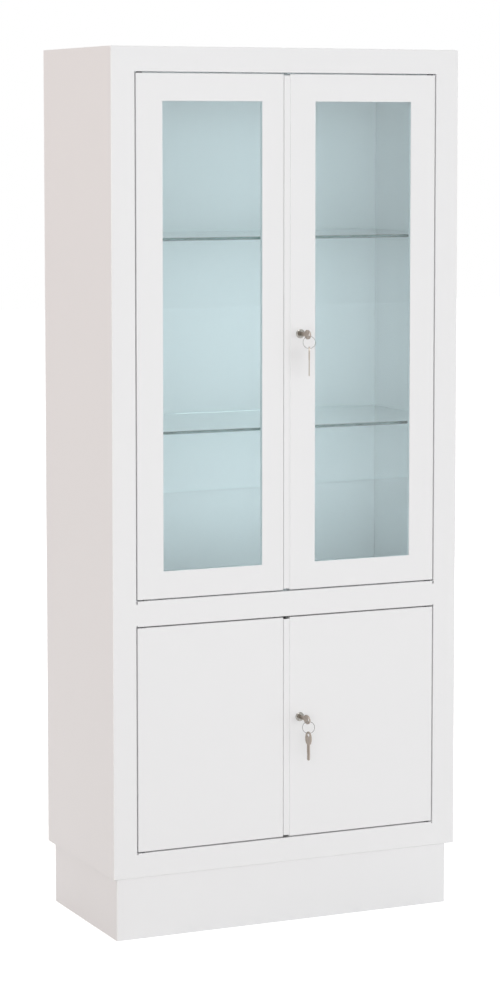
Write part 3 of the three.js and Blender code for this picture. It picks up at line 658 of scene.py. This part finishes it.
# %% Key outlines
KEY_LENGTH = 60.0
BOW_LENGTH = 29.0
BOW_WIDTH = 19.0
BLADE_WIDTH = 8.0
BLADE_TIP = 3.0
HOLE_RADIUS = 4.0
HOLE_INSET = 7.0
CUTS = 4
CUT_PITCH = 3.2
CUT_DEPTH = 0.9
BOW_STEPS = 48
OVAL_STEPS = 40
MILL_START = 1.5
MILL_TIP = 1.0
MILL_LOW = -1.6
MILL_HIGH = -0.2
MILL_MIDDLE = -0.9


def blade_and_bow():
    half = BLADE_WIDTH / 2
    bow_x = KEY_LENGTH - BOW_LENGTH / 2
    meet = math.asin(BLADE_WIDTH / BOW_WIDTH)
    points = [(0, -half / 2), (BLADE_TIP, -half)]
    for i in range(BOW_STEPS + 1):
        angle = math.pi + meet + (2 * math.pi - 2 * meet) * i / BOW_STEPS
        points.append((bow_x + BOW_LENGTH / 2 * math.cos(angle), BOW_WIDTH / 2 * math.sin(angle)))
    for i in range(CUTS, 0, -1):
        cut = BLADE_TIP + (i - 0.5) * CUT_PITCH
        points.append((cut + CUT_PITCH / 2, half))
        points.append((cut, half - CUT_DEPTH * (1 + i % 2)))
    return points + [(BLADE_TIP, half), (0, half / 2)]


def oval(centre, across, up):
    angles = [2 * math.pi * i / OVAL_STEPS for i in range(OVAL_STEPS)]
    return [(centre + across * math.cos(a), up * math.sin(a)) for a in angles]


def milled_groove():
    end = KEY_LENGTH - BOW_LENGTH
    below = [(MILL_START, MILL_LOW), (end - MILL_TIP, MILL_LOW)]
    above = [(end - MILL_TIP, MILL_HIGH), (MILL_START, MILL_HIGH)]
    return below + [(end, MILL_MIDDLE)] + above


print("key outline of", len(blade_and_bow()), "points")

# %% [markdown]
# ## Plates from outlines
# A key is built like a sandwich. A thin web has the full outline, and a cheek on each side has the same
# outline with the groove left out, so the groove appears without any cutting. Flat curves fill outlines with
# holes and round their edges, then become meshes.

# %% Plates from outlines
WEB = 1.0
WEB_EDGE = 0.05
CHEEK = 0.6
CHEEK_EDGE = 0.18
RIM = 0.25
RIM_EDGE = 0.1
RIM_INSET = 0.6
RIM_WIDTH = 1.3


def flat_plate(outlines, low, high, edge):
    """A plate between two heights, in millimetres. The first outline is filled and the rest are holes."""
    curve = bpy.data.curves.new("outline", "CURVE")
    curve.dimensions = "2D"
    curve.fill_mode = "BOTH"
    curve.extrude = ((high - low) / 2 - edge) * MM
    curve.bevel_depth = edge * MM
    curve.bevel_resolution = 1
    curve.offset = -edge * MM
    for outline in outlines:
        spline = curve.splines.new("POLY")
        spline.points.add(len(outline) - 1)
        spline.use_cyclic_u = True
        for point, (x, y) in zip(spline.points, outline):
            point.co = (x * MM, y * MM, 0, 1)
    sheet = bpy.data.objects.new("outline", curve)
    bpy.context.scene.collection.objects.link(sheet)
    ready = bpy.context.evaluated_depsgraph_get()
    mesh = bpy.data.meshes.new_from_object(sheet.evaluated_get(ready))
    bpy.data.objects.remove(sheet)
    mesh.transform(Matrix.Translation((0, 0, (low + high) / 2 * MM)))
    return mesh


def joined(name, meshes):
    work = bmesh.new()
    for mesh in meshes:
        work.from_mesh(mesh)
    whole = bpy.data.meshes.new(name)
    work.to_mesh(whole)
    work.free()
    return whole


def key_mesh(name, tip, along, across):
    hole = oval(KEY_LENGTH - HOLE_INSET, HOLE_RADIUS, HOLE_RADIUS)
    bow_x = KEY_LENGTH - BOW_LENGTH / 2
    outer = RIM_INSET
    inner = RIM_INSET + RIM_WIDTH
    rim_outer = oval(bow_x, BOW_LENGTH / 2 - outer, BOW_WIDTH / 2 - outer)
    rim_inner = oval(bow_x, BOW_LENGTH / 2 - inner, BOW_WIDTH / 2 - inner)
    layers = [flat_plate([blade_and_bow(), hole], -WEB / 2, WEB / 2, WEB_EDGE)]
    for side in (-1, 1):
        face = WEB / 2 + CHEEK
        cheek = sorted((side * WEB / 2, side * face))
        layers.append(flat_plate([blade_and_bow(), hole, milled_groove()], *cheek, CHEEK_EDGE))
        rim = sorted((side * (face - RIM_EDGE), side * (face + RIM)))
        layers.append(flat_plate([rim_outer, rim_inner], *rim, RIM_EDGE))
    through = along.cross(across)
    turn = Matrix((along, across, through)).transposed().to_4x4()
    mesh = joined(name, layers)
    mesh.transform(Matrix.Translation(tip) @ turn)
    return finish_mesh(mesh, key_metal)


# %% [markdown]
# ## Four keys
# Each lock has one key in it, pointing into the leaf, and one that hangs from the ring with its tip down.
# The upper spare is seen nearly edge on, and the lower one is turned to show more of its face.

# %% Four keys
SPARE_TURN = {"upper": 0.0, "lower": math.radians(39)}
UP = Vector((0, 0, 1))
for level in LEVELS:
    low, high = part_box(f"{level}_key")
    tip = Vector((lock_at[level].x, high.y, lock_at[level].z))
    mesh = key_mesh(f"{level}_lock_key", tip, Vector((0, -1, 0)), UP)
    add_piece(f"{level}_lock_key", mesh, f"{level}_key", [f"{level}_key"])
    low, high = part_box(f"{level}_spare_key")
    tip = Vector(((low.x + high.x) / 2, (low.y + high.y) / 2, low.z))
    across = Matrix.Rotation(RING_TURN + SPARE_TURN[level], 3, "Z") @ Vector((0, 1, 0))
    mesh = key_mesh(f"{level}_hanging_key", tip, UP, across)
    add_piece(f"{level}_hanging_key", mesh, f"{level}_spare_key", [f"{level}_spare_key"])
    print(mesh.name, len(mesh.polygons), "faces")

# %% [markdown]
# ## Weld spots
# The stiffeners inside the lower leaves and the rails of the steel shelf are spot welded. Under the paint
# each weld is a shallow dome. One Geometry Nodes tree puts a row of them between two points, so the pitch
# stays even whatever the length.

# %% Weld row tree
DOME_SEGMENTS = 14
DOME_RINGS = 7
WELD_INPUTS = [
    ("Start", "NodeSocketVector"),
    ("End", "NodeSocketVector"),
    ("Count", "NodeSocketInt"),
    ("Size", "NodeSocketVector"),
    ("Finish", "NodeSocketMaterial"),
]
weld_row, entry, leave = new_geometry_tree("weld_row", WELD_INPUTS)
row = add_node(weld_row, "GeometryNodeMeshLine", {"mode": "END_POINTS"})
dome = weld_row.nodes.new("GeometryNodeMeshUVSphere")
dome.inputs["Segments"].default_value = DOME_SEGMENTS
dome.inputs["Rings"].default_value = DOME_RINGS
dome.inputs["Radius"].default_value = 1.0
spots = weld_row.nodes.new("GeometryNodeInstanceOnPoints")
solid = weld_row.nodes.new("GeometryNodeRealizeInstances")
coat = weld_row.nodes.new("GeometryNodeSetMaterial")
link = weld_row.links.new
link(entry.outputs["Start"], row.inputs["Start Location"])
link(entry.outputs["End"], row.inputs["Offset"])
link(entry.outputs["Count"], row.inputs["Count"])
link(row.outputs["Mesh"], spots.inputs["Points"])
link(dome.outputs["Mesh"], spots.inputs["Instance"])
link(entry.outputs["Size"], spots.inputs["Scale"])
link(spots.outputs["Instances"], solid.inputs["Geometry"])
link(solid.outputs["Geometry"], coat.inputs["Geometry"])
link(entry.outputs["Finish"], coat.inputs["Material"])
link(coat.outputs["Geometry"], leave.inputs["Geometry"])
print(weld_row.name, "has", len(weld_row.nodes), "nodes")

# %% [markdown]
# ## Rows of welds
# A stiffener has a row on each flange and a rail has one row along it. The rows stop short of the ends.

# %% Rows of welds
WELD_RADIUS = 2.6
WELD_HEIGHT = 0.25
WELD_END = 20 * MM
STIFFENER_WELDS = 8
RAIL_WELDS = 5
FLANGE_MIDDLE = 7 * MM
SHEET = 1 * MM


def weld_rows(name, lines, count, size, body):
    rows = []
    for start, end in lines:
        values = {"Start": start, "End": end, "Count": count, "Size": size, "Finish": white_paint}
        rows.append(grown_mesh(name, weld_row, values, white_paint))
    mesh = finish_mesh(joined(name, rows), white_paint)
    add_piece(name, mesh, body)
    print(name, len(mesh.polygons), "faces")


for side in ("left", "right"):
    low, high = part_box(f"lower_{side}_stiffener")
    y = low.y + SHEET
    columns = (low.x + FLANGE_MIDDLE, high.x - FLANGE_MIDDLE)
    lines = [(Vector((x, y, low.z + WELD_END)), Vector((x, y, high.z - WELD_END))) for x in columns]
    size = Vector((WELD_RADIUS, WELD_HEIGHT, WELD_RADIUS)) * MM
    weld_rows(f"lower_{side}_stiffener_welds", lines, STIFFENER_WELDS, size, f"lower_{side}_door")

    low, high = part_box(f"steel_shelf_{side}_rail")
    x = low.x + SHEET if side == "left" else high.x - SHEET
    z = low.z + FLANGE_MIDDLE
    lines = [(Vector((x, low.y + WELD_END, z)), Vector((x, high.y - WELD_END, z)))]
    size = Vector((WELD_HEIGHT, WELD_RADIUS, WELD_RADIUS)) * MM
    weld_rows(f"steel_shelf_{side}_rail_welds", lines, RAIL_WELDS, size, "cabinet")

# %% [markdown]
# ## Floor
# The background is plain white. A white floor lit only by lamps would turn grey in the distance, so the floor
# and the world shine evenly for the rays that the viewer sees, directly or in glass and metal. Every other
# ray meets a normal matt floor, so the cabinet still gets true bounce light and leaves a soft shadow.

# %% Floor
FLOOR_HALF = 20.0
FLOOR_TONE = (0.65, 0.65, 0.65, 1)
FLOOR_GLOW = 0.77
PURE_WHITE = (1, 1, 1, 1)


def seen_mask(tree):
    """One for rays from the camera, from gloss and through glass, and zero for the rest."""
    path = tree.nodes.new("ShaderNodeLightPath")
    either = add_node(tree, "ShaderNodeMath", {"operation": "MAXIMUM"})
    mask = add_node(tree, "ShaderNodeMath", {"operation": "MAXIMUM"})
    tree.links.new(path.outputs["Is Camera Ray"], either.inputs[0])
    tree.links.new(path.outputs["Is Glossy Ray"], either.inputs[1])
    tree.links.new(either.outputs[0], mask.inputs[0])
    tree.links.new(path.outputs["Is Transmission Ray"], mask.inputs[1])
    return mask.outputs[0]


floor_paint, tree, shader = new_material("pale_floor")
shader.inputs["Base Color"].default_value = FLOOR_TONE
shader.inputs["Roughness"].default_value = 0.9
shader.inputs["Specular IOR Level"].default_value = 0.0
glow = add_node(tree, "ShaderNodeEmission", Color=PURE_WHITE)
level_of_glow = add_node(tree, "ShaderNodeMath", {"operation": "MULTIPLY"})
level_of_glow.inputs[1].default_value = FLOOR_GLOW
both = tree.nodes.new("ShaderNodeAddShader")
tree.links.new(seen_mask(tree), level_of_glow.inputs[0])
tree.links.new(level_of_glow.outputs[0], glow.inputs["Strength"])
tree.links.new(shader.outputs["BSDF"], both.inputs[0])
tree.links.new(glow.outputs["Emission"], both.inputs[1])
tree.links.new(both.outputs["Shader"], tree.nodes["Material Output"].inputs["Surface"])

mesh = bpy.data.meshes.new("floor")
corners = [(-1, -1), (1, -1), (1, 1), (-1, 1)]
mesh.from_pydata([(x * FLOOR_HALF, y * FLOOR_HALF, 0) for x, y in corners], [], [(0, 1, 2, 3)])
mesh.materials.append(floor_paint)
floor = bpy.data.objects.new("floor", mesh)
bpy.context.scene.collection.objects.link(floor)
floor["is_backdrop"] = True
print("floor:", 2 * FLOOR_HALF, "m square")

# %% [markdown]
# ## Background
# The world has two strengths. The viewer sees full white, and the cabinet is lit by about half of it, so the
# lamps can still shape the faces.

# %% Background
SKY_LIGHT = 0.53
WALL_LIGHT = 1.0
world = bpy.data.worlds.new("white_studio")
world.use_nodes = True
bpy.context.scene.world = world
tree = world.node_tree
sky = tree.nodes["Background"]
sky.inputs["Color"].default_value = PURE_WHITE
sky.inputs["Strength"].default_value = SKY_LIGHT
wall = add_node(tree, "ShaderNodeBackground", Color=PURE_WHITE, Strength=WALL_LIGHT)
choice = tree.nodes.new("ShaderNodeMixShader")
tree.links.new(seen_mask(tree), choice.inputs[0])
tree.links.new(sky.outputs["Background"], choice.inputs[1])
tree.links.new(wall.outputs["Background"], choice.inputs[2])
tree.links.new(choice.outputs["Shader"], tree.nodes["World Output"].inputs["Surface"])
print("world:", world.name, "lights with", SKY_LIGHT, "and shows", WALL_LIGHT)

# %% [markdown]
# ## Lamps
# A wide soft box far in front lights the doors and reaches the shelves through the panes. It is as wide as
# a wall, so the stiles throw no hard shadow inside, and it is hidden from gloss, so that it doesn't lie on
# the metal as a white sheet. A broad box overhead does the opposite: only gloss sees it, and it gives the
# lock rims their one bright spark. A warm box beside the cabinet gives the left side its tone, and a box
# behind keeps the right side and the back from going dull.

# %% Lamps
AIM = Vector((0, 0, 0.95))


def soft_box(name, position, width, height, watts, colour):
    """A rectangular lamp, in metres and watts, that points at the middle of the cabinet."""
    lamp = bpy.data.lights.new(name, "AREA")
    lamp.shape = "RECTANGLE"
    lamp.size = width
    lamp.size_y = height
    lamp.energy = watts
    lamp.color = colour
    holder = bpy.data.objects.new(name, lamp)
    holder.location = position
    holder.rotation_euler = (AIM - Vector(position)).to_track_quat("-Z", "Y").to_euler()
    bpy.context.scene.collection.objects.link(holder)
    return holder


WHITE = (1.0, 1.0, 1.0)
WARM = (1.0, 0.73, 0.62)
front_box = soft_box("front_soft_box", (-0.5, -6.6, 1.5), width=10.0, height=3.0, watts=226.0, colour=WHITE)
front_box.visible_glossy = False
spark_box = soft_box("spark_box", (-0.7, -1.6, 4.2), width=3.0, height=3.0, watts=85.0, colour=WHITE)
spark_box.visible_diffuse = False
spark_box.visible_transmission = False
soft_box("left_soft_box", (-3.6, 0.2, 2.6), width=1.4, height=1.4, watts=27.0, colour=WARM)
soft_box("rear_soft_box", (3.2, 3.4, 2.6), width=3.0, height=3.0, watts=110.0, colour=WHITE)
bpy.context.scene.view_settings.view_transform = "Standard"

# %% [markdown]
# The dressed model is meant to stay inside the box of the solids, so the script prints how far each corner of
# the dressed box lies from the box of the solids.

dressed_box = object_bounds()
for corner, before, after in zip(("low", "high"), cad_box, dressed_box):
    print(corner, "corner moved by", [round((b - a) / MM, 3) for a, b in zip(before, after)], "mm")
